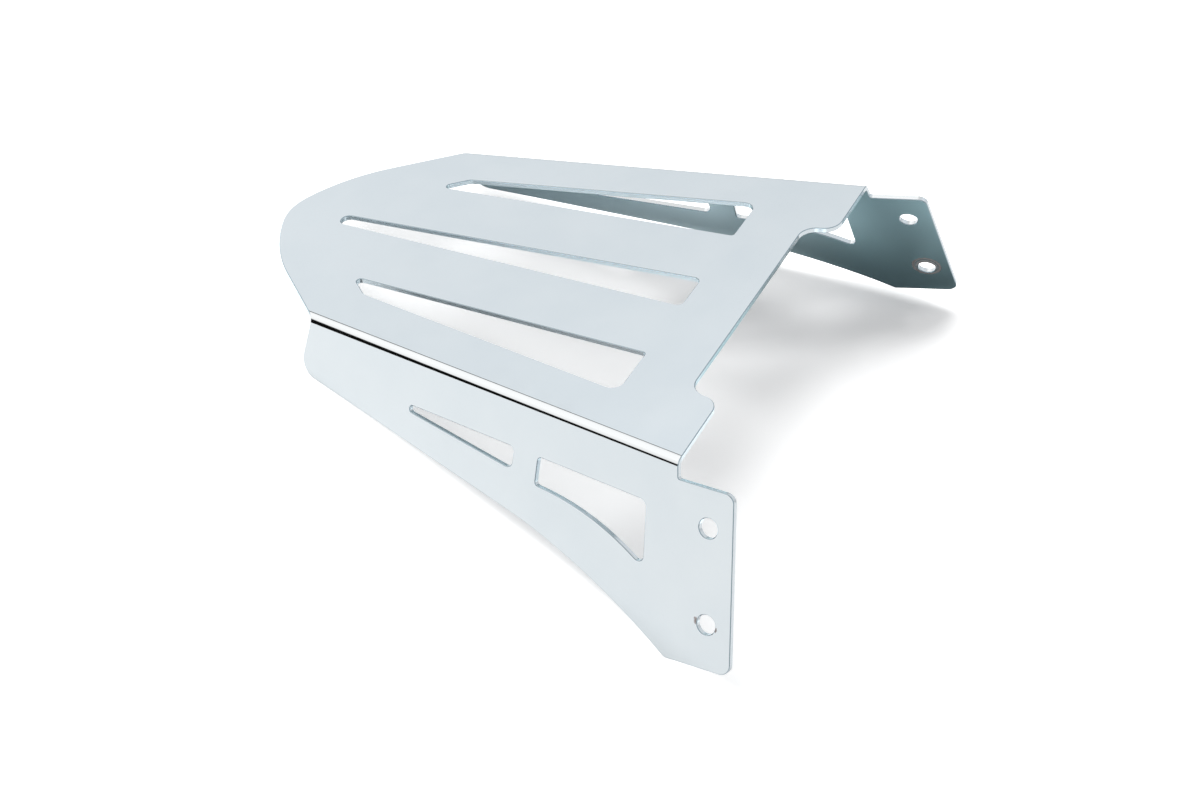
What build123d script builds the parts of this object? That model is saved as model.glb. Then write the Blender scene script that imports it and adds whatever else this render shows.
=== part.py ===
from build123d import *
import math
import os

# Motorcycle luggage rack: one sheet of steel, cut flat and then folded down along both sides.
# It stands as it rests, on its two front feet and its two rear lower corners, with z = 0 under them.
# Y runs from the rounded tail to the front tabs, Z is up, and the left side mirrors the right one.
# Deck points are (x, y) in the deck's top face, with y = 0 at the straight front edge.
# Side plate points are (s, w): s runs forward along the fold, w down the plate's outer face
# from the sharp line in which the outer faces of deck and plate would meet.

# Sheet and fold
sheet = 2.5
fold_inner_r = 2.0
fold_angle = 68.0
toe_in = 9.4
half_width = 100.0
edge_break = 0.3

# Deck outline
front_edge_half = 54.5
step_r = 8.0
step_forward = 14.2
tail_y = -234.6
nose_r = 26.4
nose_turn = 21.8
flank_r = 90.4
flank_turn = 28.1

# Deck slots
slot_front_y = -27.4
centre_slot_rear_y = -206.2
centre_slot_front_half = 10.3
centre_slot_front_r = 3.0
centre_slot_rear_r = 3.55
side_slot_inner_x = 44.96
side_slot_outer_x = 71.76
side_slot_rear_outer = (48.2, -164.2)
side_slot_rear_inner = (38.3, -176.0)
side_slot_radii = [1.5, 5.0, 5.0, 1.8]

# Side plate outline
notch_forward = 1.4
notch_w = 7.68
tab_top_corner = (40.86, 5.71)
foot_front_corner = (52.06, 79.86)
foot_tip = (21.2, 83.5)
belly_end = (-57.0, 51.2)
rear_step = 4.4
rear_lean = 0.16
rear_low_w = 25.9
belly_r = 294.0
notch_r = 1.0
tab_top_r = 4.0
foot_front_r = 5.0
foot_tip_r = 1.5
belly_blend_r = 100.0
rear_low_r = 8.5

# Side plate windows
window_top_w = 21.6
small_window_rear_s = -120.1
small_window_front_s = -63.9
small_window_rear_height = 3.1
small_window_front_height = 9.95
small_window_radii = [1.4, 1.4, 3.0, 2.5]
large_window_rear_s = -51.3
large_window_rear_height = 12.6
large_window_front_s = 2.4
large_window_low_corner = (5.4, 49.75)
large_window_low_r = 111.0
large_window_rear_r = 1.8
large_window_top_r = 3.5
large_window_low_corner_r = 2.5

# Bolt holes, in a line beside the front edge of the foot
bolt_hole_r = 4.2
upper_hole = (31.93, 22.64)
bolt_spacing = 40.0
bolt_line_lean = 8.6

# Fold geometry
theta = math.radians(fold_angle)
alpha = math.radians(toe_in)
fold_outer_r = fold_inner_r + sheet
fold_tangent = fold_outer_r * math.tan(theta / 2)
fold_length = (fold_inner_r + 0.4 * sheet) * theta

# Surplus that is cut away again at the ends of the fold
cut_margin = 0.5
spare_length = 5.0

# Deck outline where its flank turns straight, and where front edge and flank meet the fold
step_turn = math.acos(1 - step_forward / (2 * step_r))
nose_angle = math.radians(nose_turn)
flank_angle = math.radians(nose_turn + flank_turn)
flank_x = nose_r * math.sin(nose_angle) + flank_r * (math.sin(flank_angle) - math.sin(nose_angle))
flank_y = tail_y + nose_r * (1 - math.cos(nose_angle))
flank_y += flank_r * (math.cos(nose_angle) - math.cos(flank_angle))
flank_across = (flank_x - half_width) * math.cos(alpha) - flank_y * math.sin(alpha)
flank_length = -(fold_tangent + flank_across) / math.cos(flank_angle + alpha)
tail_corner = (flank_x + flank_length * math.cos(flank_angle), flank_y + flank_length * math.sin(flank_angle))
tail_s = (tail_corner[0] - half_width) * math.sin(alpha) + tail_corner[1] * math.cos(alpha)
tail_run = math.tan(flank_angle + alpha)
front_s = (step_forward - fold_tangent * math.sin(alpha)) / math.cos(alpha)
front_run = math.tan(alpha)

# Side plate outline where its front and rear edges meet the fold
notch_s = front_s + front_run * fold_length
notch_corner = (front_s + notch_forward, notch_w)
notch_run = (notch_corner[0] - notch_s) / (notch_w - fold_tangent)
rear_s = tail_s + rear_step
rear_low_corner = (rear_s - rear_lean * (rear_low_w - fold_tangent), rear_low_w)


def corner_centre(corner, towards_one, towards_other, radius):
    """Centre of the arc that rounds a corner, from the directions of its two edges."""
    middle = (towards_one.normalized() + towards_other.normalized()).normalized()
    half_corner = math.radians(towards_one.get_angle(middle))
    return corner + middle * (radius / math.sin(half_corner))


# The rack rests on the line that touches the round corners at its rear and under its foot
rear_point = Vector(*rear_low_corner)
foot_point = Vector(*foot_tip)
belly_chord = Vector(*belly_end) - foot_point
belly_turn = math.degrees(math.asin(belly_chord.length / (2 * belly_r)))
belly_direction = belly_chord.rotate(Axis.Z, belly_turn)
rear_centre = corner_centre(rear_point, Vector(rear_lean, -1), Vector(*belly_end) - rear_point, rear_low_r)
foot_centre = corner_centre(foot_point, Vector(*foot_front_corner) - foot_point, belly_direction, foot_tip_r)
between = foot_centre - rear_centre
rest_lean = math.degrees(math.asin((rear_low_r - foot_tip_r) / between.length))
rest_direction = between.rotate(Axis.Z, -rest_lean)
run_y = rest_direction.X * math.cos(alpha) - rest_direction.Y * math.cos(theta) * math.sin(alpha)
drop_z = rest_direction.Y * math.sin(theta)
tilt = math.degrees(math.atan2(drop_z, run_y))

deck_plane = Plane.XY.rotated((tilt, 0, 0))
fold_frame = deck_plane.location * Pos(half_width, 0, 0) * Rot(0, 0, 90 - toe_in)
fold_direction = Plane(fold_frame).x_dir
side_plane = Plane(fold_frame * Rot(fold_angle, 0, 0))


def rim_point(s, angle, radius):
    """Point in the fold, at a distance from its axis and an angle turned down from the deck."""
    across = fold_tangent - radius * math.sin(angle)
    up = radius * math.cos(angle) - fold_outer_r
    return (fold_frame * Pos(s, across, up)).position


def fold_cut(deck_s, deck_run, side_s, side_run):
    """Face across the fold that joins an edge of the deck smoothly to an edge of the side plate.

    Each edge has its s where it meets the fold, and its run, the s it gains per length across.
    """
    turns = [i / 10 - 0.2 for i in range(15)]
    rims = []
    for radius in (fold_inner_r - cut_margin, fold_outer_r + cut_margin):
        arc = radius * theta
        points = []
        for turn in turns:
            s = deck_s + (side_s - deck_s) * turn * turn * (3 - 2 * turn)
            s += deck_run * arc * turn * (1 - turn) ** 2
            s += side_run * arc * turn * turn * (turn - 1)
            points.append(rim_point(s, theta * turn, radius))
        rims.append(Edge.make_spline(points, parameters=turns))
    return Face.make_surface_from_curves(rims[0], rims[1])


def on_plate(point):
    """Sketch position of a side plate point (s, w)."""
    return (point[0], -point[1])


def round_corner(sketch, point, radius):
    """Round the sketch's corner nearest to a side plate point."""
    fillet(sketch.vertices().sort_by_distance(on_plate(point))[0], radius)


# The flat deck between the two folds
with BuildPart() as deck:
    with BuildSketch(deck_plane):
        with BuildLine():
            Line((0, 0), (front_edge_half, 0))
            step_in = JernArc((front_edge_half, 0), (1, 0), step_r, math.degrees(step_turn))
            step_out = JernArc(step_in @ 1, step_in % 1, step_r, -math.degrees(step_turn))
            fold_x = half_width - fold_tangent * math.cos(alpha) + front_s * math.sin(alpha)
            Polyline(step_out @ 1, (fold_x, step_forward), tail_corner, (flank_x, flank_y))
            nose = JernArc((0, tail_y), (1, 0), nose_r, nose_turn)
            JernArc(nose @ 1, nose % 1, flank_r, flank_turn)
            mirror(about=Plane.YZ)
        make_face()
        # Centre slot, narrowing to a full round at the rear
        with BuildSketch(mode=Mode.SUBTRACT):
            with Locations((0, centre_slot_rear_y + centre_slot_rear_r)):
                Circle(centre_slot_rear_r)
            front_round_x = centre_slot_front_half - centre_slot_front_r
            front_round_y = slot_front_y - centre_slot_front_r
            with Locations((-front_round_x, front_round_y), (front_round_x, front_round_y)):
                Circle(centre_slot_front_r)
            make_hull()
        # Side slots
        with BuildSketch(mode=Mode.SUBTRACT):
            with BuildLine():
                FilletPolyline(
                    (side_slot_inner_x, slot_front_y),
                    (side_slot_outer_x, slot_front_y),
                    side_slot_rear_outer,
                    side_slot_rear_inner,
                    radius=side_slot_radii,
                    close=True,
                )
            make_face()
            mirror(about=Plane.YZ)
    extrude(amount=-sheet)

# The right-hand fold, its ends running smoothly from the deck's edges to the side plate's
with BuildPart() as fold:
    with BuildSketch(Plane(fold_frame * Pos(0, fold_tangent, 0) * Rot(90, 0, 0))):
        with Locations((front_s + spare_length, 0)):
            Rectangle(front_s - tail_s + 2 * spare_length, sheet, align=(Align.MAX, Align.MAX))
    revolve(axis=Axis(rim_point(0, 0, 0), fold_direction), revolution_arc=fold_angle)
    rear_cut = fold_cut(tail_s, tail_run, rear_s, -rear_lean)
    extrude(rear_cut, amount=4 * spare_length, dir=-fold_direction, mode=Mode.SUBTRACT)
    front_cut = fold_cut(front_s, front_run, notch_s, notch_run)
    extrude(front_cut, amount=4 * spare_length, dir=fold_direction, mode=Mode.SUBTRACT)

# The right-hand side plate
with BuildPart() as side:
    with BuildSketch(side_plane) as plate:
        with BuildLine():
            upper = Polyline(
                on_plate((rear_s, fold_tangent)),
                on_plate((notch_s, fold_tangent)),
                on_plate(notch_corner),
                on_plate(tab_top_corner),
                on_plate(foot_front_corner),
                on_plate(foot_tip),
            )
            belly = RadiusArc(upper @ 1, on_plate(belly_end), -belly_r)
            Polyline(belly @ 1, on_plate(rear_low_corner), upper @ 0)
        make_face()
        round_corner(plate, notch_corner, notch_r)
        round_corner(plate, tab_top_corner, tab_top_r)
        round_corner(plate, foot_front_corner, foot_front_r)
        round_corner(plate, foot_tip, foot_tip_r)
        round_corner(plate, belly_end, belly_blend_r)
        round_corner(plate, rear_low_corner, rear_low_r)
        # Small window
        with BuildSketch(mode=Mode.SUBTRACT):
            with BuildLine():
                FilletPolyline(
                    on_plate((small_window_rear_s, window_top_w)),
                    on_plate((small_window_rear_s, window_top_w + small_window_rear_height)),
                    on_plate((small_window_front_s, window_top_w + small_window_front_height)),
                    on_plate((small_window_front_s, window_top_w)),
                    radius=small_window_radii,
                    close=True,
                )
            make_face()
        # Large window, its lower edge an arc
        large_rear_low = (large_window_rear_s, window_top_w + large_window_rear_height)
        large_rear_top = (large_window_rear_s, window_top_w)
        large_front_top = (large_window_front_s, window_top_w)
        with BuildSketch(mode=Mode.SUBTRACT) as window:
            with BuildLine():
                opening = Polyline(
                    on_plate(large_rear_low),
                    on_plate(large_rear_top),
                    on_plate(large_front_top),
                    on_plate(large_window_low_corner),
                )
                RadiusArc(opening @ 1, opening @ 0, -large_window_low_r)
            make_face()
            round_corner(window, large_rear_top, large_window_rear_r)
            round_corner(window, large_rear_low, large_window_rear_r)
            round_corner(window, large_front_top, large_window_top_r)
            round_corner(window, large_window_low_corner, large_window_low_corner_r)
        # Bolt holes
        lean = math.radians(bolt_line_lean)
        lower_s = upper_hole[0] + bolt_spacing * math.sin(lean)
        lower_w = upper_hole[1] + bolt_spacing * math.cos(lean)
        with Locations(on_plate(upper_hole), on_plate((lower_s, lower_w))):
            Circle(bolt_hole_r, mode=Mode.SUBTRACT)
    extrude(amount=-sheet)

# The whole rack, one folded sheet
with BuildPart() as rack:
    add(fold.part)
    add(side.part)
    mirror(about=Plane.YZ)
    add(deck.part)
    # Every cut edge is broken before plating: all but the lines across the sheet and along the folds
    along_fold = min(front_s - tail_s, notch_s - rear_s) - sheet
    cut_edges = rack.edges().filter_by(lambda e: abs(e.length - sheet) > 0.001 and e.length < along_fold)
    chamfer(cut_edges, edge_break)

# Placed with the middle of its footprint at the origin
box = rack.part.bounding_box()
placed = Pos(0, -box.center().Y, -box.min.Z) * rack.part
placed.label = "luggage_rack"
os.makedirs("parts", exist_ok=True)
export_step(placed, "parts/luggage_rack.step")
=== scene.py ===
import bpy
import math
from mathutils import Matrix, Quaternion, Vector

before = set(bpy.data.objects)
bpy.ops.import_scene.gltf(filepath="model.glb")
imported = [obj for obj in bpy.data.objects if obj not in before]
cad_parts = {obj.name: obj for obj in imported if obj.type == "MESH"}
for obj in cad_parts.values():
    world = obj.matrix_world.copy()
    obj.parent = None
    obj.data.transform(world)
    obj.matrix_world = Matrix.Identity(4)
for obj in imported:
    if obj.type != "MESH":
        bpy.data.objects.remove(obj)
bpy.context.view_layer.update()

scene = bpy.context.scene
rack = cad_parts["luggage_rack"]

scene.view_settings.view_transform = "Standard"

# Camera at the photograph's place: 60 mm lens on a 36 mm frame
cam_data = bpy.data.cameras.new("camera")
cam_data.sensor_fit = "HORIZONTAL"
cam_data.sensor_width = 36.0
cam_data.lens = 60.0
cam_data.clip_start = 0.01
cam_data.clip_end = 50.0
camera = bpy.data.objects.new("camera", cam_data)
scene.collection.objects.link(camera)
camera.rotation_mode = "QUATERNION"
camera.location = (0.619267, 0.233398, 0.633576)
camera.rotation_quaternion = Quaternion((0.46174769, 0.25274964, 0.28732482, 0.80021943))
scene.camera = camera


class Tree:
    """Short names for building a node tree."""

    def __init__(self, owner):
        owner.use_nodes = True
        self.tree = owner.node_tree
        self.tree.nodes.clear()

    def add(self, kind, **values):
        node = self.tree.nodes.new(kind)
        for name, value in values.items():
            setattr(node, name, value)
        return node

    def link(self, value, socket):
        """Joins an output to an input, or sets the input where the value is a number or a vector."""
        if isinstance(value, bpy.types.NodeSocket):
            self.tree.links.new(value, socket)
        else:
            socket.default_value = value

    def math(self, operation, a, b=0.0):
        node = self.add("ShaderNodeMath", operation=operation)
        self.link(a, node.inputs[0])
        self.link(b, node.inputs[1])
        return node.outputs[0]

    def plus(self, a, b):
        return self.math("ADD", a, b)

    def minus(self, a, b):
        return self.math("SUBTRACT", a, b)

    def times(self, first, *others):
        for other in others:
            first = self.math("MULTIPLY", first, other)
        return first

    def vector(self, operation, a, b=(0, 0, 0), output="Vector"):
        node = self.add("ShaderNodeVectorMath", operation=operation)
        self.link(a, node.inputs[0])
        self.link(b, node.inputs[1])
        return node.outputs[output]

    def dot(self, a, b):
        return self.vector("DOT_PRODUCT", a, b, "Value")

    def length(self, a):
        return self.vector("LENGTH", a, output="Value")

    def scaled(self, a, factor):
        node = self.add("ShaderNodeVectorMath", operation="SCALE")
        self.link(a, node.inputs[0])
        self.link(factor, node.inputs["Scale"])
        return node.outputs[0]

    def split(self, a):
        node = self.add("ShaderNodeSeparateXYZ")
        self.link(a, node.inputs[0])
        return node.outputs["X"], node.outputs["Y"], node.outputs["Z"]

    def join(self, x, y, z=0.0):
        node = self.add("ShaderNodeCombineXYZ")
        for name, value in (("X", x), ("Y", y), ("Z", z)):
            self.link(value, node.inputs[name])
        return node.outputs[0]

    def spread(self, value, low, high, start=0.0, end=1.0):
        """Goes smoothly from start, at low, to end, at high, and stays there on both sides."""
        node = self.add("ShaderNodeMapRange", interpolation_type="SMOOTHSTEP")
        for name, number in (("From Min", low), ("From Max", high), ("To Min", start), ("To Max", end)):
            self.link(number, node.inputs[name])
        self.link(value, node.inputs["Value"])
        return node.outputs["Result"]

    def fade(self, value, low, high):
        """1 up to low, then smoothly down to 0 at high."""
        return self.spread(value, low, high, 1.0, 0.0)

    def curve(self, value, points):
        """Straight runs between (value, result) points, with results from 0 to 1."""
        first, last = points[0][0], points[-1][0]
        share = self.math("DIVIDE", self.minus(value, first), last - first)
        node = self.add("ShaderNodeFloatCurve")
        line = node.mapping.curves[0]
        places = [((x - first) / (last - first), y) for x, y in points]
        line.points[0].location = places[0]
        line.points[1].location = places[-1]
        for place in places[1:-1]:
            line.points.new(*place)
        for point in line.points:
            point.handle_type = "VECTOR"
        node.mapping.update()
        self.link(share, node.inputs["Value"])
        return node.outputs["Value"]

    def mix(self, factor, a, b, blend="MIX"):
        """A colour between a and b, or their product."""
        node = self.add("ShaderNodeMix", data_type="RGBA", blend_type=blend)
        self.link(factor, node.inputs["Factor"])
        self.link(a, node.inputs["A"])
        self.link(b, node.inputs["B"])
        return node.outputs["Result"]

    def noise(self, place, scale, detail):
        node = self.add("ShaderNodeTexNoise")
        self.link(place, node.inputs["Vector"])
        self.link(scale, node.inputs["Scale"])
        self.link(detail, node.inputs["Detail"])
        return node.outputs["Fac"]


# The studio, as the chrome mirrors it: white screens all round, a duller ceiling, a narrow dark gap
# between the screen behind the tail and the brighter one beside it, and a dark patch low beside the
# near plate. The camera sees plain white. Angles are degrees: `turned` from +X towards +Y, `raised`
# above the horizon.
screen_level = [(0, 0.96), (40, 0.90), (150, 0.93), (205, 1.0), (224, 1.08), (246, 1.27), (300, 1.29),
                (335, 1.2), (350, 1.0), (360, 0.96)]
brightest = 1.3
ceiling_level = 0.84
black_level = 0.004
gap_start, gap_end = 226.4, 234.2
gap_lean = (-8.0, 16.0)
patch_lean, patch_left, patch_right = 0.5, (302.5, 305.5), (322.0, 328.0)
patch_slope, patch_top = 0.444, (152.3, 155.3)
cool_white, warm_white = (0.985, 0.997, 1.015, 1), (1.05, 0.995, 0.965, 1)
loss_on_matt = 0.55


def make_world():
    world = bpy.data.worlds.new("studio")
    scene.world = world
    w = Tree(world)
    x, y, z = w.split(w.add("ShaderNodeTexCoord").outputs["Generated"])
    raised = w.math("DEGREES", w.math("ARCSINE", z))
    turned = w.math("MODULO", w.plus(w.math("DEGREES", w.math("ARCTAN2", y, x)), 360.0), 360.0)

    # The screens, duller near the floor, and the gap between two of them
    level = w.times(w.curve(turned, [(angle, share / brightest) for angle, share in screen_level]), brightest)
    level = w.times(level, w.spread(raised, 24.0, 38.0, 0.88, 1.0), w.spread(raised, -6.0, 18.0, 0.72, 1.0))
    across = w.plus(turned, w.spread(raised, 15.0, 45.0, *gap_lean))
    after_gap = w.spread(across, gap_end - 0.6, gap_end + 4.0)
    before_gap = w.fade(across, gap_start - 0.4, gap_start + 0.4)
    level = w.times(level, w.math("MAXIMUM", after_gap, before_gap))
    overhead = w.spread(raised, 55.0, 75.0)
    level = w.plus(w.times(level, w.minus(1.0, overhead)), w.times(overhead, ceiling_level))

    # The dark patch: its left edge leans, and its top slants down to the right
    left_edge = w.spread(w.plus(turned, w.times(raised, patch_lean)), *patch_left)
    top_edge = w.fade(w.plus(raised, w.times(turned, patch_slope)), *patch_top)
    patch = w.times(left_edge, w.fade(turned, *patch_right), top_edge)
    level = w.plus(w.times(level, w.minus(1.0, patch)), black_level)

    path = w.add("ShaderNodeLightPath")
    warmth = w.times(after_gap, w.fade(turned, 330.0, 345.0))
    studio = w.add("ShaderNodeBackground")
    w.link(w.mix(warmth, cool_white, warm_white), studio.inputs["Color"])
    on_matt = w.minus(1.0, w.times(path.outputs["Is Diffuse Ray"], loss_on_matt))
    w.link(w.times(level, on_matt), studio.inputs["Strength"])
    white = w.add("ShaderNodeBackground")
    white.inputs["Color"].default_value = (1, 1, 1, 1)
    either = w.add("ShaderNodeMixShader")
    w.link(path.outputs["Is Camera Ray"], either.inputs[0])
    w.link(studio.outputs[0], either.inputs[1])
    w.link(white.outputs[0], either.inputs[2])
    w.link(either.outputs[0], w.add("ShaderNodeOutputWorld").inputs["Surface"])


# The right side plate's frame: its fold line runs along `forward`, `down` lies in its outer face,
# and `outward` is that face's normal. The left plate is its mirror. The bend is part of a cylinder.
fold_line = Vector((0.100000, 0.081463, 0.071204))
forward = Vector((0.163326, 0.952093, 0.258541))
down = Vector((0.369576, 0.183933, -0.910814))
outward = Vector((0.914734, -0.244310, 0.321830))
deck_up = Vector((0.0, -0.262060, 0.965052))
deck_out = forward.cross(deck_up).normalized()
bend_radius = 0.0045
bend_angle = math.radians(68.0)
bend_axis = -bend_radius * math.tan(bend_angle / 2) * deck_out - bend_radius * deck_up
plate_top = 0.0015

# The lower bolt hole, measured along `forward` and `down`, its washer's mark on the inner face, and
# the smears beside it on the outer face: along, down and radius, measured with `down` squeezed
lower_hole = (0.03791, 0.06219)
washer_centre = (lower_hole[0], lower_hole[1] - 0.0013)
smear_places = ((-0.0048, -0.0001, 0.0011), (-0.0056, -0.0009, 0.0004), (0.0047, 0.0004, 0.0007))
smear_squeeze = 0.6

chrome_dull, chrome_bright = (0.708, 0.768, 0.800, 1), (0.736, 0.792, 0.820, 1)
speck_colour = (0.66, 0.72, 0.75, 1)
edge_colour = (0.64, 0.71, 0.75, 1)
# Colour of the painted dark reflection along the broken corners
corner_colour = (0.27, 0.36, 0.41, 1)
brown_dark, brown_light = (0.17, 0.115, 0.10, 1), (0.27, 0.19, 0.165, 1)


def chrome_material():
    """Bright chromed steel, with cloudy polish, faint waves, cut edges less bright than the faces, painted
    dark reflections as darker lines on their broken corners, and the marks of a washer at the lower bolt
    holes."""
    material = bpy.data.materials.new("chromed_steel")
    t = Tree(material)
    shader = t.add("ShaderNodeBsdfPrincipled")
    coord = t.add("ShaderNodeTexCoord")
    place, normal = coord.outputs["Object"], coord.outputs["Normal"]

    # Both sides as the right one
    side = t.split(place)[0]
    flip = t.join(t.math("SIGN", side), 1.0, 1.0)
    offset = t.vector("SUBTRACT", t.vector("MULTIPLY", place, flip), fold_line)
    facing = t.vector("MULTIPLY", normal, flip)
    along, below = t.dot(offset, forward), t.dot(offset, down)
    outer = t.dot(facing, outward)
    upper = t.math("ABSOLUTE", t.dot(facing, deck_up))

    # On the bends the normal is the cylinder's own, so that the screens' edges are mirrored as clean lines
    spoke = t.vector("SUBTRACT", offset, bend_axis)
    spoke = t.vector("NORMALIZE", t.vector("SUBTRACT", spoke, t.scaled(forward, t.dot(spoke, forward))))
    toward = t.dot(spoke, facing)
    on_bend = t.times(t.math("GREATER_THAN", t.math("ABSOLUTE", toward), 0.95),
                      t.math("GREATER_THAN", t.dot(spoke, deck_out), 0.0),
                      t.math("LESS_THAN", t.dot(spoke, down), 0.0))
    true_normal = t.add("ShaderNodeMix", data_type="VECTOR")
    t.link(on_bend, true_normal.inputs["Factor"])
    t.link(normal, true_normal.inputs["A"])
    t.link(t.scaled(t.vector("MULTIPLY", spoke, flip), t.math("SIGN", toward)), true_normal.inputs["B"])

    # The cut edges, and the narrow broken corners beside them, where a darker line is painted as a painted
    # dark reflection
    on_plate = t.math("GREATER_THAN", below, plate_top)
    on_face = t.plus(t.times(upper, t.minus(1.0, on_plate)), t.times(t.math("ABSOLUTE", outer), on_plate))
    off_bend = t.minus(1.0, on_bend)
    cut_edge = t.times(t.fade(on_face, 0.40, 0.60), off_bend)
    corner = t.times(t.spread(on_face, 0.50, 0.62), t.fade(on_face, 0.80, 0.92), off_bend)

    # Cloudy polish and fine specks
    tone = t.mix(t.spread(t.noise(place, 28.0, 3.0), 0.3, 0.7), chrome_dull, chrome_bright)
    tone = t.mix(t.spread(t.noise(place, 900.0, 2.0), 0.62, 0.80, 0.0, 0.25), tone, speck_colour)
    tone = t.mix(t.times(cut_edge, 0.35), tone, edge_colour)
    # Painted dark reflection: darker lines on the broken corners
    tone = t.mix(t.times(corner, 0.85), tone, corner_colour)
    polish = t.spread(t.noise(place, 60.0, 4.0), 0.3, 0.75, 0.03, 0.075)
    rough = t.plus(polish, t.times(cut_edge, 0.12))

    # Washer marks: a brown ring on each inner face, and small brown smears on the right outer face
    ragged = t.times(t.minus(t.noise(place, 500.0, 3.0), 0.5), 0.0012)
    away = t.join(t.minus(along, washer_centre[0]), t.minus(below, washer_centre[1]))
    reach = t.plus(t.length(away), ragged)
    outer_band = t.times(t.spread(reach, 0.0055, 0.0062), t.fade(reach, 0.0068, 0.0074))
    inner_band = t.times(t.fade(reach, 0.0048, 0.0056), 0.85)
    haze = t.spread(reach, 0.0066, 0.0074, 0.55, 0.0)
    ring = t.math("MAXIMUM", t.math("MAXIMUM", outer_band, inner_band), haze)
    ring = t.times(ring, t.spread(outer, -0.9, -0.97))
    smears = 0.0
    for s, d, radius in smear_places:
        spot = t.join(t.minus(along, lower_hole[0] + s),
                      t.times(t.minus(below, lower_hole[1] + d), smear_squeeze))
        smears = t.math("MAXIMUM", smears, t.fade(t.plus(t.length(spot), ragged), 0.5 * radius, radius))
    smears = t.times(smears, t.spread(side, 0.0, 0.01), t.spread(outer, 0.9, 0.97))
    stain = t.times(t.math("MAXIMUM", ring, smears), 0.8)
    brown = t.mix(t.noise(place, 700.0, 2.0), brown_dark, brown_light)
    t.link(t.mix(stain, tone, brown), shader.inputs["Base Color"])
    t.link(t.minus(1.0, t.times(stain, 0.8)), shader.inputs["Metallic"])
    t.link(t.plus(rough, t.times(stain, 0.35)), shader.inputs["Roughness"])

    # Waves of the sheet, orange peel of the plating and faint ribs on the cut edges, as heights in metres
    waves = t.times(t.noise(place, 22.0, 1.0), 0.00004)
    peel = t.times(t.noise(place, 700.0, 2.0), 0.0000006)
    ribs = t.times(t.noise(t.join(along, below), 1400.0, 1.0), 0.000005, cut_edge)
    bump = t.add("ShaderNodeBump")
    bump.inputs["Distance"].default_value = 1.0
    t.link(true_normal.outputs["Result"], bump.inputs["Normal"])
    t.link(t.plus(t.plus(waves, peel), ribs), bump.inputs["Height"])
    t.link(bump.outputs[0], shader.inputs["Normal"])
    t.link(shader.outputs[0], t.add("ShaderNodeOutputMaterial").inputs["Surface"])
    return material


# The floor's colours: the paper itself, and what the chrome mirrors of it: painted shade and painted light
# under the rack, and a painted dark patch away off its near rear corner
paper_grey = (0.82, 0.82, 0.82, 1)
open_floor = (0.90, 0.90, 0.90, 1)
# Painted shade (far_front) and painted light (far_rear, above white in green and blue) under the far side of
# the rack, seen only in the chrome
far_rear, far_front = (0.98, 1.14, 1.16, 1), (0.32, 0.45, 0.47, 1)
# Painted light, brighter than white, under the middle and the near side of the rack, seen only in the chrome
under_middle, under_near = (1.40, 1.50, 1.54, 1), (1.75, 1.93, 2.00, 1)
# A painted dark patch, seen only in the chrome, in the same direction as the studio's dark patch
painted_dark_patch = (0.02, 0.02, 0.02, 1)
toe_in = 0.1715

# Painted light for the camera: the paper is lightened fully outside the feet, less between them, and least
# along a painted band of deeper shadow, from band_start towards the far foot
outside_light = 0.95
foot_slope = 0.2542
band_start = (-0.062, 0.050)
band_forward = (-0.646, 0.763)


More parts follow.
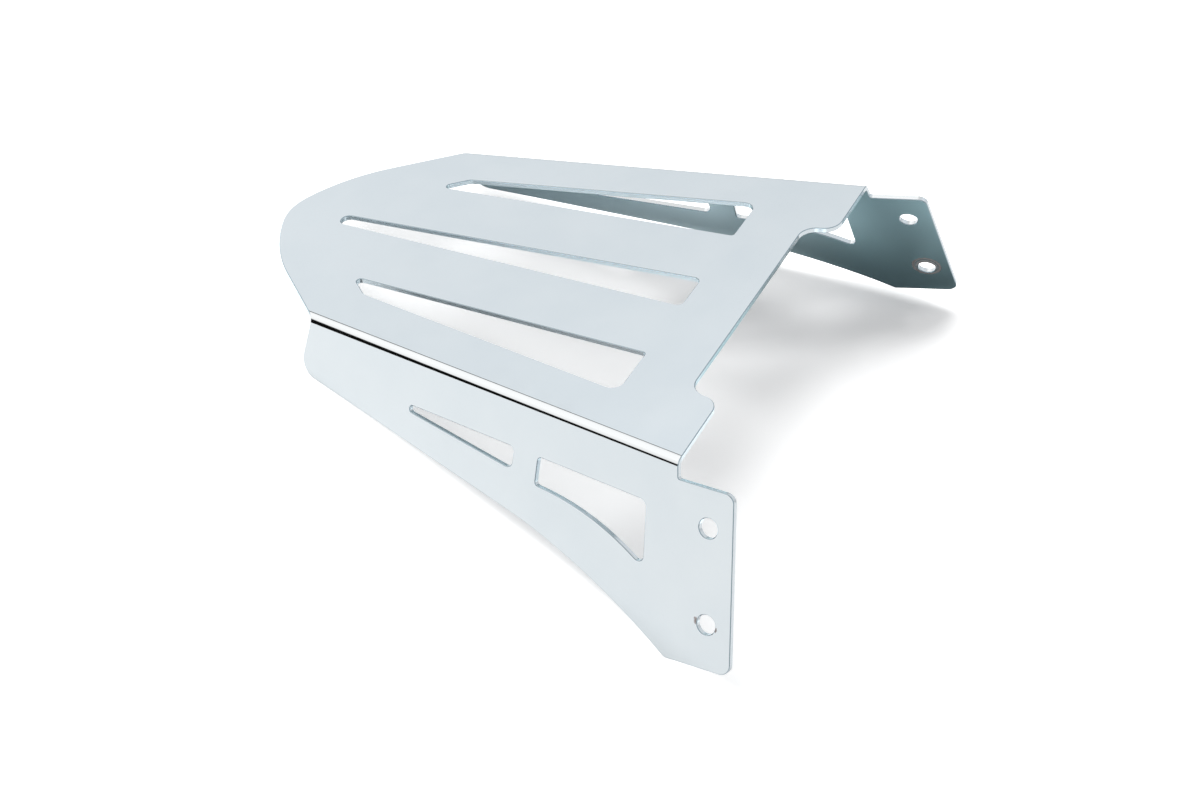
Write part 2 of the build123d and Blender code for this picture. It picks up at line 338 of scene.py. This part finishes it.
def paper_material():
    """White paper, lightened for the camera by painted light, most outside the rack's shadow; in what the
    chrome mirrors of it, painted shade, painted light and a painted dark patch.
    """
    material = bpy.data.materials.new("floor")
    f = Tree(material)
    x, y, _ = f.split(f.add("ShaderNodeNewGeometry").outputs["Position"])
    from_middle = f.math("ABSOLUTE", x)
    path = f.add("ShaderNodeLightPath")

    # What the chrome mirrors, for mirrored rays only: painted shade and painted light under the rack, and a
    # painted dark patch away off the near rear corner
    sideways = f.minus(from_middle, f.times(y, toe_in))
    # Painted shade towards the far front and painted light towards the far rear, darker again near the far
    # foot
    far_side = f.mix(1.0, f.mix(f.spread(y, 0.0, 0.11), far_rear, far_front),
                     f.spread(sideways, 0.065, 0.112, 1.6, 0.55), "MULTIPLY")
    # Painted light, brighter than the paper, under the middle and the near side
    middle = f.mix(f.spread(x, 0.06, 0.09), under_middle, under_near)
    shade = f.mix(f.spread(x, -0.06, -0.02), far_side, middle)
    past_plate = f.plus(sideways, f.times(f.spread(x, -0.02, 0.02), 0.045))
    under_rack = f.times(f.fade(past_plate, 0.116, 0.130), f.fade(f.math("ABSOLUTE", y), 0.15, 0.18))
    seen = f.mix(under_rack, open_floor, shade)
    # Where the painted dark patch lies: a wedge off the near rear corner, away from the rack
    heading = f.math("DEGREES", f.math("ARCTAN2", y, x))
    sector = f.times(f.spread(heading, -58.0, -54.0), f.fade(heading, -34.0, -29.0))
    beyond = f.fade(f.plus(y, f.times(x, 0.55)), -0.16, -0.11)
    seen = f.mix(f.times(beyond, sector), seen, painted_dark_patch)
    first_hand = f.math("LESS_THAN", path.outputs["Diffuse Depth"], 0.5)
    mirrored = f.times(path.outputs["Is Glossy Ray"], first_hand)
    matt = f.add("ShaderNodeBsdfDiffuse")
    f.link(f.mix(mirrored, paper_grey, seen), matt.inputs["Color"])

    # The painted light for the camera, with a painted band of deeper shadow
    foot_line = f.minus(from_middle, f.times(y, foot_slope))
    outside = f.math("MAXIMUM", f.spread(foot_line, 0.092, 0.104), f.fade(y, -0.130, -0.110))
    rear_light = f.spread(y, -0.095, -0.030, 0.70, 0.38)
    far_light = f.times(f.spread(x, -0.07, -0.04, 0.57, 0.0), f.fade(y, 0.0, 0.02))
    east, north = f.minus(x, band_start[0]), f.minus(y, band_start[1])
    band_along = f.plus(f.times(east, band_forward[0]), f.times(north, band_forward[1]))
    band_across = f.minus(f.times(east, band_forward[1]), f.times(north, band_forward[0]))
    band = f.times(f.fade(f.math("ABSOLUTE", f.minus(band_across, 0.006)), 0.008, 0.030),
                   f.spread(band_along, 0.010, 0.060, 0.27, 0.16),
                   f.spread(band_along, -0.035, -0.010), f.fade(band_along, 0.10, 0.13))
    inside_light = f.minus(f.math("MAXIMUM", rear_light, far_light), band)
    light = f.plus(f.times(inside_light, f.minus(1.0, outside)), f.times(outside, outside_light))
    lift = f.add("ShaderNodeEmission")
    f.link(f.times(path.outputs["Is Camera Ray"], light), lift.inputs["Strength"])
    both = f.add("ShaderNodeAddShader")
    f.link(matt.outputs[0], both.inputs[0])
    f.link(lift.outputs[0], both.inputs[1])
    f.link(both.outputs[0], f.add("ShaderNodeOutputMaterial").inputs["Surface"])
    return material


make_world()

chrome = chrome_material()
for slot in rack.material_slots:
    slot.material = chrome
if not rack.material_slots:
    rack.data.materials.append(chrome)

# Floor
half = 3.0
floor_mesh = bpy.data.meshes.new("floor")
corners = [(-half, -half, 0), (half, -half, 0), (half, half, 0), (-half, half, 0)]
floor_mesh.from_pydata(corners, [], [(0, 1, 2, 3)])
floor_mesh.materials.append(paper_material())
floor = bpy.data.objects.new("floor", floor_mesh)
scene.collection.objects.link(floor)

# Key light: a wide soft box above the rear left, which makes the soft shadow
key_data = bpy.data.lights.new("key", "AREA")
key_data.shape = "RECTANGLE"
key_data.size, key_data.size_y = 2.5, 0.9
key_data.energy = 46
key = bpy.data.objects.new("key", key_data)
key.location = (-0.45, -0.75, 2.0)
key.rotation_mode = "QUATERNION"
key.rotation_quaternion = (-Vector(key.location)).to_track_quat("-Z", "Y")
key.visible_camera = False
key.visible_glossy = False
scene.collection.objects.link(key)
